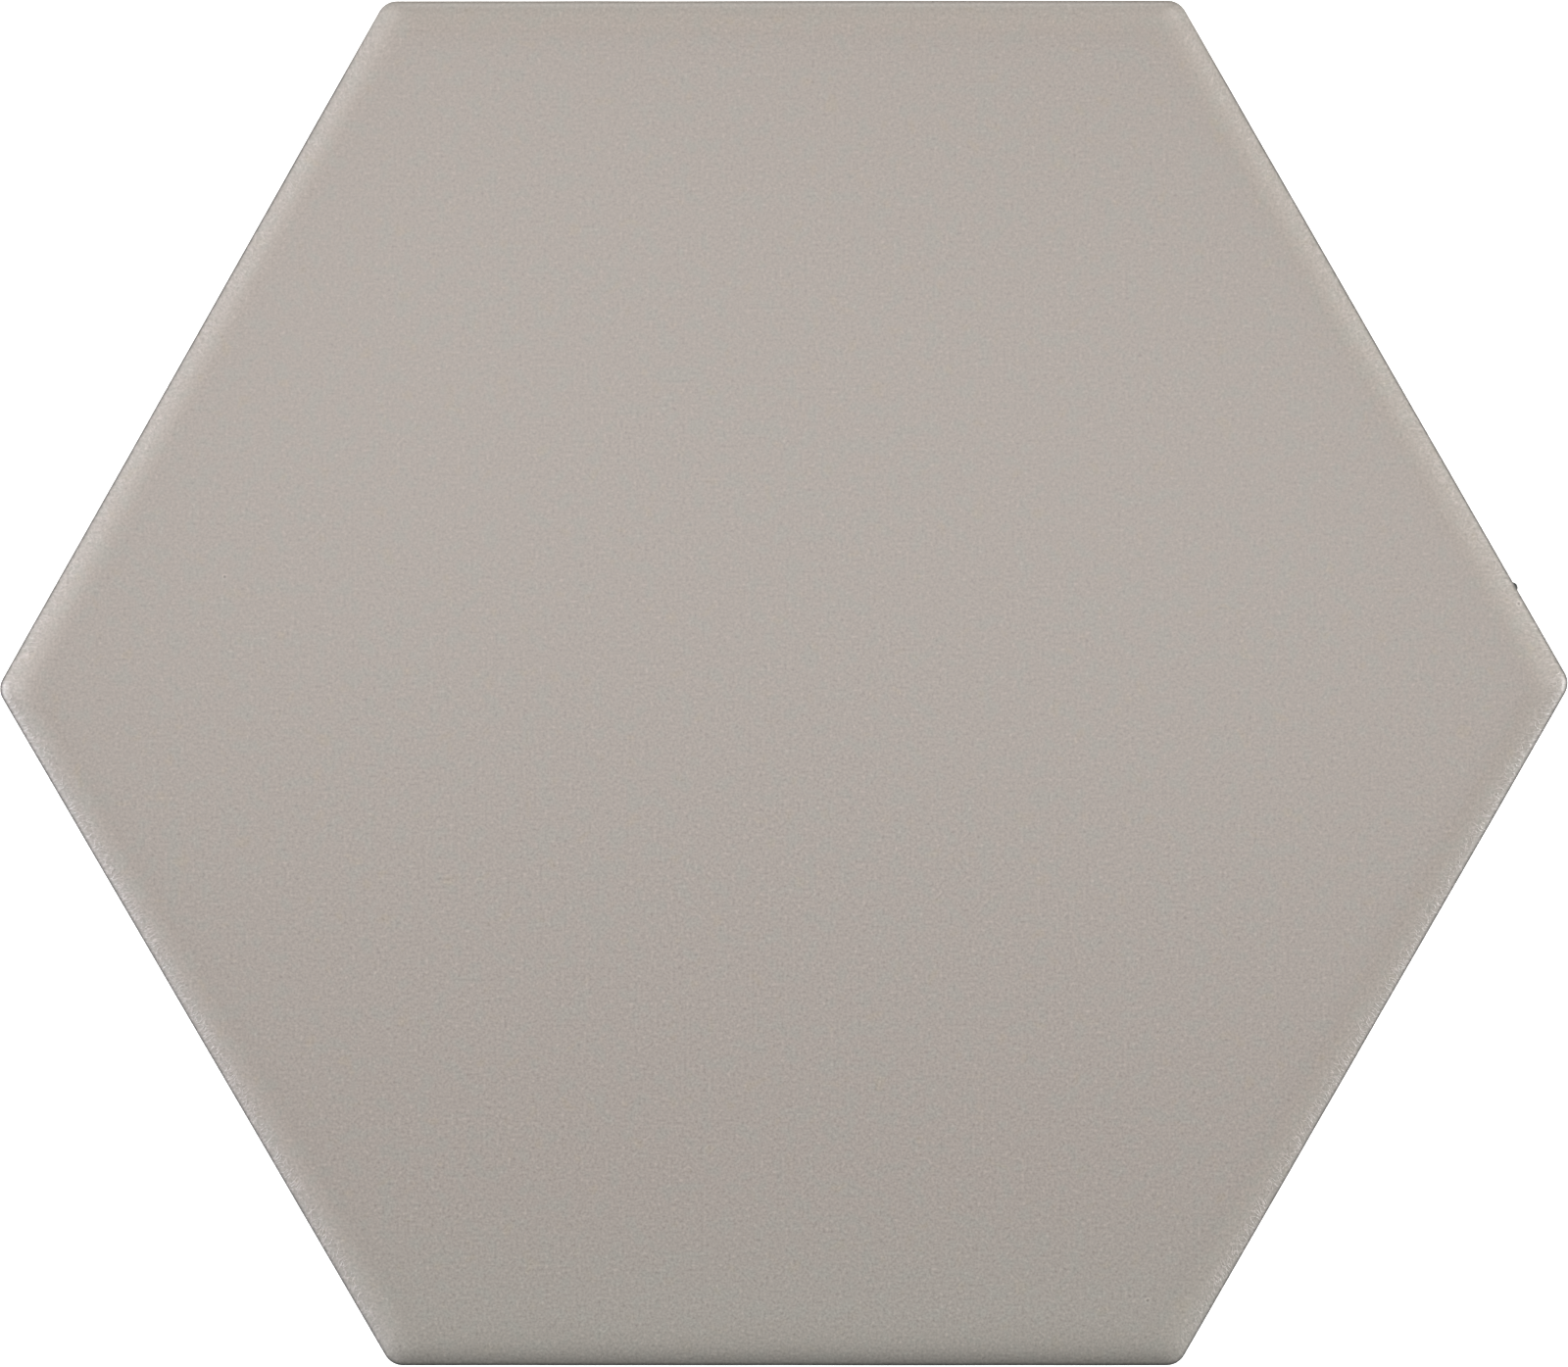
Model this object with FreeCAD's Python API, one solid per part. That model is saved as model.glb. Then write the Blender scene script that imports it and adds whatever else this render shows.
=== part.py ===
import FreeCAD, Part
import math
import os

# Hexagon floor tile: one dust-pressed, glazed and fired unit.
# It lies on its keyed back. Two flats face +Y and -Y, two corners point to +X and -X, the walking face is up.
# The origin is the centre of the back. Sizes are in millimetres, angles in degrees.

# Outline in plan
across_flats = 101.0
corner_radius = 1.5

# Section, from the back upwards
thickness = 9.0
back_chamfer_width = 0.5
back_chamfer_height = 0.4
draft_inset = 0.45
band_height = 3.4

# Cushion edge: the round-over between the vertical band and the flat walking face.
# Its section is a quarter of an ellipse, and its corner in plan opens out as it climbs.
cushion_width = 3.0
cushion_drop = 1.3
cushion_corner_radius = 2.6
cushion_steps = 8

# Keys in the back: shallow hexagonal pockets in rings about the centre, inside a plain rim
key_rings = 3
key_depth = 0.6
key_rib = 2.0
key_rim = 5.0
key_draft = 30.0
key_corner_radius = 0.9

NODE = "hexagon_tile"
SIDES = 6
TURN = 360.0 / SIDES
HALF_TURN = TURN / 2


def polar(radius, degrees, z=0.0):
    """Point at a distance and bearing from the tile's axis, at a height."""
    bearing = math.radians(degrees)
    return FreeCAD.Vector(radius * math.cos(bearing), radius * math.sin(bearing), z)


def hexagon(flats, radius, z, first_corner=0.0):
    """Edges of a regular hexagon in turn: its sides, and an arc at each corner that has a radius."""
    to_tip = 1 / math.cos(math.radians(HALF_TURN))
    arcs = []
    for corner in range(SIDES):
        bearing = first_corner + corner * TURN
        centre = polar((flats / 2 - radius) * to_tip, bearing, z)
        arcs.append([centre + polar(radius, bearing + turn) for turn in (-HALF_TURN, 0.0, HALF_TURN)])
    edges = []
    for corner, (start, middle, end) in enumerate(arcs):
        if radius > 0:
            edges.append(Part.Arc(start, middle, end).toShape())
        edges.append(Part.makeLine(end, arcs[(corner + 1) % SIDES][0]))
    return edges


def wall(low, high):
    """Face between two like edges, one above the other: flat between straight ones, ruled between arcs."""
    if isinstance(low.Curve, Part.Line):
        a, b = [vertex.Point for vertex in low.Vertexes]
        c, d = [vertex.Point for vertex in high.Vertexes]
        return Part.Face(Part.makePolygon([a, b, d, c, a]))
    return Part.makeRuledSurface(low, high)


def drafted(lower, upper):
    """Solid whose walls run straight from one hexagon up to another."""
    faces = [wall(low, high) for low, high in zip(lower, upper)]
    faces += [Part.Face(Part.Wire(lower)), Part.Face(Part.Wire(upper))]
    solid = Part.makeSolid(Part.makeShell(faces))
    solid.fixTolerance(1e-6)
    return solid if solid.Volume > 0 else solid.reversed()


def cushion(spring):
    """Rounded shoulder of the walking face, lofted through hexagons that follow a quarter ellipse."""
    sections = []
    for step in range(cushion_steps + 1):
        angle = math.radians(90.0 * step / cushion_steps)
        share = 1 - math.cos(angle)
        flats = across_flats - 2 * cushion_width * share
        radius = corner_radius + (cushion_corner_radius - corner_radius) * share
        height = spring + cushion_drop * math.sin(angle)
        sections.append(Part.Wire(hexagon(flats, radius, height)))
    return Part.makeLoft(sections, True)


def pressed_body():
    """The unit as it leaves the die, before the keys: chamfered back, drafted lower wall, band and cushion."""
    spring = thickness - cushion_drop
    heel_flats = across_flats - 2 * draft_inset
    foot = hexagon(heel_flats - 2 * back_chamfer_width, corner_radius, 0)
    heel = hexagon(heel_flats, corner_radius, back_chamfer_height)
    waist = hexagon(across_flats, corner_radius, spring - band_height)
    shoulder = hexagon(across_flats, corner_radius, spring)
    layers = [drafted(foot, heel), drafted(heel, waist), drafted(waist, shoulder), cushion(spring)]
    return layers[0].fuse(layers[1:]).removeSplitter()


def key_pitch():
    """Distance between pockets that leaves the rim's width outside the last ring."""
    foot_inradius = across_flats / 2 - draft_inset - back_chamfer_width
    row = key_rings * math.cos(math.radians(HALF_TURN))
    point = 0.5 / math.cos(math.radians(HALF_TURN))
    return (foot_inradius - key_rim + key_rib * point) / (row + point)


def key_places(pitch):
    """Centres of the pockets: every place of a triangular grid within key_rings steps of the middle."""
    places = []
    for i in range(-key_rings, key_rings + 1):
        for j in range(-key_rings, key_rings + 1):
            if abs(i + j) <= key_rings:
                places.append(polar(pitch, 0) * i + polar(pitch, TURN) * j)
    return places


def key_pockets():
    """Drafted cutters for the pockets. Their walls run on below the back, so that each mouth is cut clean."""
    pitch = key_pitch()
    mouth = pitch - key_rib
    spread = 2 * key_depth * math.tan(math.radians(key_draft))
    lower = hexagon(mouth + spread, 0, -key_depth, HALF_TURN)
    roof = hexagon(mouth - spread, 0, key_depth, HALF_TURN)
    cutter = drafted(lower, roof)
    corners = [edge for edge in cutter.Edges if edge.BoundBox.ZLength > key_depth]
    cutter = cutter.makeFillet(key_corner_radius, corners)
    return [cutter.translated(place) for place in key_places(pitch)]


def main():
    tile = pressed_body().cut(key_pockets()).Solids[0]
    os.makedirs("parts", exist_ok=True)
    tile.exportStep("parts/" + NODE + ".step")
    box = tile.optimalBoundingBox(False, False)
    print(NODE, "valid", tile.isValid(), "faces", len(tile.Faces))
    print("size", round(box.XLength, 3), round(box.YLength, 3), round(box.ZLength, 3))
    print("volume in cubic centimetres", round(tile.Volume / 1000, 3), "key pitch", round(key_pitch(), 3))


main()
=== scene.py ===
import math

import bpy
from bpy.props import FloatProperty, FloatVectorProperty, IntProperty, PointerProperty, StringProperty
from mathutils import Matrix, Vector


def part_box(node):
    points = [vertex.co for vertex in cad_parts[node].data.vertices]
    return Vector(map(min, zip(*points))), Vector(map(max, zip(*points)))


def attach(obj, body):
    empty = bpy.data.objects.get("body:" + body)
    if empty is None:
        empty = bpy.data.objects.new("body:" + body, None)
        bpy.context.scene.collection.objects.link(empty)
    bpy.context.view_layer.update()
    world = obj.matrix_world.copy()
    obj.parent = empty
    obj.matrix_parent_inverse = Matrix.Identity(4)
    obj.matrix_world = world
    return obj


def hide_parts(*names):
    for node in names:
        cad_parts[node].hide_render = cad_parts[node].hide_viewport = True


bl_info = {
    "name": "Hexagon Floor Tile",
    "version": (1, 0, 0),
    "blender": (4, 5, 0),
    "location": "3D View > Sidebar > Tile",
    "description": "Builds a glazed hexagon floor tile with a cushion edge and a keyed back, and a studio",
    "category": "Object",
}

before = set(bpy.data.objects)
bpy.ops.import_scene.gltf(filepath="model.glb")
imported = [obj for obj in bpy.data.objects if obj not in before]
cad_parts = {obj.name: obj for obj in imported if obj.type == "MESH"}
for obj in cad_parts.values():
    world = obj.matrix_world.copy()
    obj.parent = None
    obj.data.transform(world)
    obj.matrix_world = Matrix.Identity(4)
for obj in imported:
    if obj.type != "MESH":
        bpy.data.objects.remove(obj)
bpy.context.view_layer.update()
NODE = "hexagon_tile"
LOW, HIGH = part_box(NODE)
MM = 0.001
SIDES = 6
TURN = 2 * math.pi / SIDES
TO_TIP = 1 / math.cos(TURN / 2)
WELD = 0.001 * MM

# Pinholes that show in the glaze, in millimetres from the middle of the face, and the radius of their rings
PINHOLES = ((-41.1, 8.0), (26.7, -45.4), (54.2, 5.8))
PINHOLE_RADIUS = 0.25

# What each ring of a section is marked with: whether it is glazed, how much of the glaze line's wander it
# follows, how far out on the rim it lies, which also sets the painted light down the rim, and how near it is
# to the arris, where the glaze is thinnest and painted shade darkens it
MARKS = ("glazed", "pull", "rim", "arris")

# Distance of the lights from the tile's middle, in metres
LIGHT_DISTANCE = 0.7


def linear(code):
    """Linear RGBA from an sRGB hex code."""
    channels = [int(code[i:i + 2], 16) / 255 for i in (1, 3, 5)]
    return tuple(c / 12.92 if c <= 0.04045 else ((c + 0.055) / 1.055) ** 2.4 for c in channels) + (1.0,)


def add(tree, kind, feeds=None, **settings):
    """Adds a node with its settings and links.

    A feed's key is a socket's name, or its number where names repeat. Its value is a plain value, a socket,
    a node whose first output is meant, or a list of those for a socket that takes several.
    """
    made = tree.nodes.new(kind)
    for name, value in settings.items():
        setattr(made, name, value)
    for key, value in (feeds or {}).items():
        if isinstance(key, int):
            socket = made.inputs[key]
        else:
            socket = next(s for s in made.inputs if s.name == key and s.enabled)
        for item in value if isinstance(value, list) else [value]:
            if isinstance(item, bpy.types.Node):
                item = next(s for s in item.outputs if s.enabled)
            if isinstance(item, bpy.types.NodeSocket):
                tree.links.new(item, socket)
            else:
                socket.default_value = item
    return made


def new_tree(name, inputs):
    """Empty geometry node tree with one geometry output and the named inputs.

    Returns it and the sockets of its input node.
    """
    tree = bpy.data.node_groups.new(name, "GeometryNodeTree")
    for label, kind in inputs:
        tree.interface.new_socket(name=label, in_out="INPUT", socket_type="NodeSocket" + kind)
    tree.interface.new_socket(name="Geometry", in_out="OUTPUT", socket_type="NodeSocketGeometry")
    return tree, add(tree, "NodeGroupInput").outputs


def new_material(name):
    """Material with no nodes yet. Returns it and its node tree."""
    material = bpy.data.materials.new(name)
    material.use_nodes = True
    material.node_tree.nodes.clear()
    return material, material.node_tree


class TileSizes(bpy.types.PropertyGroup):
    across_flats: FloatProperty(
        name="Across Flats", description="Width between opposite sides of the glazed band",
        default=HIGH.y - LOW.y, unit="LENGTH", precision=5)
    thickness: FloatProperty(
        name="Thickness", description="Height of the walking face above the back",
        default=HIGH.z, unit="LENGTH", precision=5)
    cushion_width: FloatProperty(
        name="Cushion Width", description="Width of the round-over in plan",
        default=3.0 * MM, unit="LENGTH", precision=5)
    cushion_drop: FloatProperty(
        name="Cushion Drop", description="Height of the round-over",
        default=1.3 * MM, unit="LENGTH", precision=5)
    cushion_corner_radius: FloatProperty(
        name="Inner Corner Radius", description="Corner radius in plan where the round-over meets the face",
        default=2.6 * MM, unit="LENGTH", precision=5)
    band_height: FloatProperty(
        name="Band Height", description="Height of the vertical band under the round-over",
        default=3.4 * MM, unit="LENGTH", precision=5)
    draft_inset: FloatProperty(
        name="Draft Inset", description="How far the lower wall leans in at its heel",
        default=0.45 * MM, unit="LENGTH", precision=5)
    chamfer_width: FloatProperty(
        name="Back Chamfer Width", description="Width of the chamfer round the back",
        default=0.5 * MM, unit="LENGTH", precision=5)
    chamfer_height: FloatProperty(
        name="Back Chamfer Height", description="Height of the chamfer round the back",
        default=0.4 * MM, unit="LENGTH", precision=5)
    corner_drift: FloatVectorProperty(
        name="Corner Drift",
        description="X and Y by which each corner is off its true place, anticlockwise from +X",
        default=[off * MM for off in (
            -0.17, -0.06, 0.18, -0.08, -0.16, 0.0, 0.22, -0.22, 0.07, 0.26, -0.12, 0.12)],
        size=2 * SIDES, unit="LENGTH", precision=5)
    corner_steps: IntProperty(
        name="Corner Steps", description="Mesh columns round each corner", default=8, min=2)
    side_steps: IntProperty(
        name="Side Steps", description="Mesh columns along each side", default=100, min=4)


class KeySizes(bpy.types.PropertyGroup):
    rings: IntProperty(name="Rings", description="Rings of pockets round the middle one", default=3, min=1)
    depth: FloatProperty(
        name="Depth", description="Depth of a pocket", default=0.6 * MM, unit="LENGTH", precision=5)
    rib: FloatProperty(
        name="Rib", description="Width of the land between two pockets",
        default=2.0 * MM, unit="LENGTH", precision=5)
    rim: FloatProperty(
        name="Rim", description="Least width of the plain rim round the pockets",
        default=5.0 * MM, unit="LENGTH", precision=5)
    draft: FloatProperty(
        name="Draft", description="Lean of a pocket's walls", default=math.radians(30), subtype="ANGLE")
    corner_radius: FloatProperty(
        name="Corner Radius", description="Corner radius of a pocket in plan",
        default=0.9 * MM, unit="LENGTH", precision=5)
    arris: FloatProperty(
        name="Arris", description="Rounding along a pocket's mouth and roof",
        default=0.16 * MM, unit="LENGTH", precision=5)
    corner_steps: IntProperty(
        name="Corner Steps", description="Mesh columns round a pocket's corner", default=4, min=2)
    side_steps: IntProperty(
        name="Side Steps", description="Mesh columns along a pocket's side", default=3, min=1)


class GlazeLook(bpy.types.PropertyGroup):
    line_height: FloatProperty(
        name="Line Height", description="Mean height at which the glaze stops on the sides",
        default=5.0 * MM, unit="LENGTH", precision=5)
    line_wander: FloatProperty(
        name="Line Wander", description="How far the glaze line wanders up and down",
        default=1.6 * MM, unit="LENGTH", precision=5)
    coat: FloatProperty(
        name="Coat", description="Thickness of the glaze over the bare body",
        default=0.14 * MM, unit="LENGTH", precision=5)
    wave: FloatProperty(
        name="Wave", description="Depth of the slow waves in the glaze surface at the rim",
        default=0.04 * MM, unit="LENGTH", precision=6)
    burr_along: FloatProperty(
        name="Burr Along", description="Place of the burr along its side, from the side's middle",
        default=-20.9 * MM, unit="LENGTH", precision=5)
    burr_height: FloatProperty(
        name="Burr Height", description="Height of the burr above the back",
        default=6.9 * MM, unit="LENGTH", precision=5)
    burr_size: FloatVectorProperty(
        name="Burr Size", description="Half sizes of the burr: out from the side, along it and up",
        default=(0.3 * MM, 0.38 * MM, 0.6 * MM), unit="LENGTH", precision=5)
    warm: StringProperty(
        name="Warm Tone", description="Main tone of the glaze, sRGB hex", default="#ACA39C")
    cool: StringProperty(
        name="Cool Tone", description="Cooler mottles in the glaze, sRGB hex", default="#A8A39C")
    # Painted cool reflection on the glaze towards the side that faces -Y
    green: StringProperty(
        name="Green Tone", description="Glaze at the side that faces -Y, sRGB hex", default="#A4A49C")
    thin: StringProperty(
        name="Thin Tone", description="Thinner glaze down the rim, sRGB hex", default="#A8A49D")
    # Painted shade along the arris, where the edge turns steeply away from the lights
    arris: StringProperty(
        name="Arris Tone", description="Thin glaze over the arris, sRGB hex", default="#383A39")
    freckle: StringProperty(
        name="Freckles", description="Amber freckles in the glaze, sRGB hex", default="#B0A492")
    # Painted glints of light on the crests of the rim's wrinkles
    crest: StringProperty(
        name="Crest Tone", description="Crests of the rim's wrinkles, sRGB hex", default="#D4C9C6")
    roughness: FloatProperty(
        name="Roughness", description="Roughness of the satin-matt glaze", default=0.34, min=0, max=1)
    seed: FloatProperty(
        name="Seed", description="Seed of the glaze line and of the slow waves", default=7.0)


class BodyLook(bpy.types.PropertyGroup):
    colour: StringProperty(
        name="Colour", description="Bare fired body, sRGB hex", default="#CDC5B9")
    grog: StringProperty(
        name="Grog", description="Darker grains in the body, sRGB hex", default="#B6AD9F")


class StudioLook(bpy.types.PropertyGroup):
    floor: StringProperty(
        name="Floor", description="Pale floor, sRGB hex", default="#F4F4F3")
    room: StringProperty(
        name="Room", description="Light from the room all round, sRGB hex", default="#E5EAEC")
    room_light: FloatProperty(
        name="Room Light", description="Strength of the light from the room", default=0.06, min=0)
    lens: FloatProperty(name="Lens", description="Focal length in millimetres", default=120.0, min=10)
    roll: FloatProperty(
        name="Roll", description="Turn of the camera about its line of sight",
        default=math.radians(-0.134), subtype="ANGLE")


def plan_corner_radius(sizes):
    """Corner radius of the band, read from how far the solid's corners stand inside sharp ones."""
    return (sizes.across_flats / 2 * TO_TIP - HIGH.x) / (TO_TIP - 1)


def key_pitch(sizes, keys):
    """Distance between pockets that leaves the rim's width outside the last ring."""
    foot_inradius = sizes.across_flats / 2 - sizes.draft_inset - sizes.chamfer_width
    row = keys.rings * math.cos(TURN / 2)
    return (foot_inradius - keys.rim + keys.rib * TO_TIP / 2) / (row + TO_TIP / 2)


def burr_place(sizes, glaze):
    """Place of the burr: sunk a little into the side that faces 30 degrees."""
    facing = Vector((math.cos(TURN / 2), math.sin(TURN / 2), 0))
    along = Vector((-facing.y, facing.x, 0))
    out = sizes.across_flats / 2 - 0.2 * glaze.burr_size[0]
    return facing * out + along * glaze.burr_along + Vector((0, 0, glaze.burr_height))


def section_object(name, rings):
    """Object whose mesh is a row of points, one for each ring.

    A ring is its inset, corner radius and height, and its marks in order.
    """
    mesh = bpy.data.meshes.new(name)
    mesh.from_pydata([ring[:3] for ring in rings], [(i, i + 1) for i in range(len(rings) - 1)], [])
    for column, label in enumerate(MARKS, 3):
        values = mesh.attributes.new(label, "FLOAT", "POINT").data
        values.foreach_set("value", [float(ring[column]) for ring in rings])
    made = bpy.data.objects.new(name, mesh)
    bpy.context.scene.collection.objects.link(made)
    return made


def tile_section(sizes, glaze):
    """Rings of the tile, from its face's middle over the cushion and down the side to the rim of its back."""
    outer = plan_corner_radius(sizes)
    spring = sizes.thickness - sizes.cushion_drop
    waist = spring - sizes.band_height
    foot_inset = sizes.draft_inset + sizes.chamfer_width
    rings = []

    face_steps = 36
    for step in range(face_steps):
        share = step / face_steps
        inset = sizes.across_flats / 2 * (1 - share) + sizes.cushion_width * share
        rings.append((inset, sizes.cushion_corner_radius * share, sizes.thickness, 1, 0, 0, 0))

    cushion_steps = 20
    arris_share = 0.1
    for step in range(cushion_steps + 1):
        angle = math.pi / 2 * (1 - step / cushion_steps)
        share = 1 - math.cos(angle)
        radius = outer + (sizes.cushion_corner_radius - outer) * share
        height = spring + sizes.cushion_drop * math.sin(angle)
        arris = max(0, 1 - share / arris_share)
        rings.append((sizes.cushion_width * share, radius, height, 1, 0, 1 - share, arris))

    # Just below the arris the painted shade fades out, and the glaze soon has its full thickness again
    for below, arris in ((0.2, 0.5), (0.6, 0)):
        rings.append((0, outer, spring - below * MM, 1, 0, 1, arris))

    # The coat hangs a little below its line as a soft bead, then steps in to the bare body
    line = glaze.line_height
    for above, pull in ((1.3, 0.3), (0.7, 0.7), (0.35, 1), (0.18, 1)):
        rings.append((0, outer, line + above * MM, 1, pull, 1, 0))
    bead_steps = 5
    for step in range(bead_steps + 1):
        angle = math.pi / 2 * step / bead_steps
        inset = glaze.coat * (1 - math.cos(angle))
        rings.append((inset, outer, line - glaze.coat * math.sin(angle), 1, 1, 1, 0))
    rings.append((glaze.coat, outer, line - 1.4 * glaze.coat, 0, 1, 1, 0))

    for height, pull in ((line - 0.5 * MM, 0.5), (waist, 0)):
        rings.append((glaze.coat, outer, height, 0, pull, 1, 0))
    wall_steps = 6
    for step in range(1, wall_steps + 1):
        share = step / wall_steps
        inset = glaze.coat + (sizes.draft_inset - glaze.coat) * share
        rings.append((inset, outer, waist + (sizes.chamfer_height - waist) * share, 0, 0, 1, 0))

    # Rings close beside the edges of the back's chamfer keep them crisp
    for share in (0.06, 0.5, 0.94, 1.0):
        inset = sizes.draft_inset + sizes.chamfer_width * share
        rings.append((inset, outer, sizes.chamfer_height * (1 - share), 0, 0, 1, 0))
    rings.append((foot_inset + 0.08 * MM, outer, 0, 0, 0, 1, 0))
    rings.append((foot_inset + 0.5 * MM, outer, 0, 0, 0, 0, 0))
    return rings


def key_section(pitch, keys):
    """Rings of one pocket and half the rib round it, from the rib's middle to the middle of the roof."""
    half_rib = keys.rib / 2
    lean = math.tan(keys.draft)
    arris = keys.arris
    rings = [(0, 0, 0), (half_rib - 2 * arris, keys.corner_radius, 0)]
    arris_steps = 4
    turn = math.pi / 2 - keys.draft
    tangent = arris * math.tan(turn / 2)
    for step in range(arris_steps + 1):
        angle = turn * step / arris_steps
        inset = half_rib - tangent + arris * math.sin(angle)
        rings.append((inset, keys.corner_radius, arris * (1 - math.cos(angle))))
    for step in range(arris_steps + 1):
        angle = turn * (1 - step / arris_steps)
        inset = half_rib + keys.depth * lean + tangent - arris * math.sin(angle)
        rings.append((inset, keys.corner_radius, keys.depth - arris * (1 - math.cos(angle))))
    roof = rings[-1][0]
    rings.append((roof + 2 * arris, keys.corner_radius, keys.depth))
    rings.append(((roof + pitch / 2) / 2, keys.corner_radius / 2, keys.depth))
    rings.append((pitch / 2, 0, keys.depth))
    return [(*ring, 0, 0, 0, 0) for ring in rings]


def sweep_tree():
    """Node group that sweeps a section round a regular hexagon.

    Each point of the section gives one ring: x is the inset from the sides, y the corner radius in plan
    and z the height. The section's marks go with the ring.
    """
    tree, given = new_tree("Hexagon Sweep", (
        ("Section", "Geometry"), ("Across Flats", "Float"), ("First Corner", "Float"),
        ("Corner Steps", "Int"), ("Side Steps", "Int")))
    section = given["Section"]
    rings = add(tree, "GeometryNodeAttributeDomainSize", {"Geometry": section}, component="MESH")
    steps = add(tree, "ShaderNodeMath", {0: given["Corner Steps"], 1: given["Side Steps"]})
    columns = add(tree, "ShaderNodeMath", {0: steps, 1: float(SIDES), 2: 1.0}, operation="MULTIPLY_ADD")
    grid = add(tree, "GeometryNodeMeshGrid", {"Vertices X": columns, "Vertices Y": rings})

    index = add(tree, "GeometryNodeInputIndex")
    ring = add(tree, "ShaderNodeMath", {0: index, 1: rings}, operation="MODULO")
    whole = add(tree, "ShaderNodeMath", {0: index, 1: rings}, operation="DIVIDE")
    column = add(tree, "ShaderNodeMath", {0: whole}, operation="FLOOR")
    step = add(tree, "ShaderNodeMath", {0: column, 1: steps}, operation="MODULO")
    turns = add(tree, "ShaderNodeMath", {0: column, 1: steps}, operation="DIVIDE")
    corner = add(tree, "ShaderNodeMath", {0: turns}, operation="FLOOR")

    # A column first swings round its corner's arc and then travels to the next corner
    bearing = add(tree, "ShaderNodeMath", {
        0: corner, 1: TURN, 2: given["First Corner"]}, operation="MULTIPLY_ADD")
    swing = add(tree, "ShaderNodeMapRange", {
        "Value": step, "From Max": given["Corner Steps"], "To Min": -TURN / 2, "To Max": TURN / 2})
    travel = add(tree, "ShaderNodeMapRange", {
        "Value": step, "From Min": given["Corner Steps"], "From Max": steps})
    onwards = add(tree, "ShaderNodeMath", {0: bearing, 1: TURN})
    outwards = add(tree, "ShaderNodeMath", {0: bearing, 1: swing})
    here, there, facing = [
        add(tree, "ShaderNodeVectorRotate", {"Vector": (1, 0, 0), "Angle": angle}, rotation_type="Z_AXIS")
        for angle in (bearing, onwards, outwards)]

    position = add(tree, "GeometryNodeInputPosition")
    sample = add(tree, "GeometryNodeSampleIndex", {
        "Geometry": section, "Value": position, "Index": ring}, data_type="FLOAT_VECTOR")
    profile = add(tree, "ShaderNodeSeparateXYZ", {0: sample}).outputs
    half = add(tree, "ShaderNodeMath", {0: given["Across Flats"], 1: 0.5}, operation="MULTIPLY")
    inradius = add(tree, "ShaderNodeMath", {0: half, 1: profile["X"]}, operation="SUBTRACT")
    straight = add(tree, "ShaderNodeMath", {0: inradius, 1: profile["Y"]}, operation="SUBTRACT")
    reach = add(tree, "ShaderNodeMath", {0: straight, 1: TO_TIP}, operation="MULTIPLY")
    heading = add(tree, "ShaderNodeMix", {"Factor": travel, "A": here, "B": there}, data_type="VECTOR")
    centre = add(tree, "ShaderNodeVectorMath", {0: heading, "Scale": reach}, operation="SCALE")
    out = add(tree, "ShaderNodeVectorMath", {0: facing, "Scale": profile["Y"]}, operation="SCALE")
    plan = add(tree, "ShaderNodeVectorMath", {0: centre, 1: out})
    height = add(tree, "ShaderNodeCombineXYZ", {"Z": profile["Z"]})
    place = add(tree, "ShaderNodeVectorMath", {0: plan, 1: height})
    surface = add(tree, "GeometryNodeSetPosition", {"Geometry": grid, "Position": place})

    for name in MARKS:
        value = add(tree, "GeometryNodeInputNamedAttribute", {"Name": name}, data_type="FLOAT")
        kept = add(tree, "GeometryNodeSampleIndex", {"Geometry": section, "Value": value, "Index": ring})
        surface = add(tree, "GeometryNodeStoreNamedAttribute", {
            "Geometry": surface, "Name": name, "Value": kept})
    outward = add(tree, "GeometryNodeFlipFaces", {"Mesh": surface})
    welded = add(tree, "GeometryNodeMergeByDistance", {"Geometry": outward, "Distance": WELD})
    add(tree, "NodeGroupOutput", {"Geometry": welded})
    return tree


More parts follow.
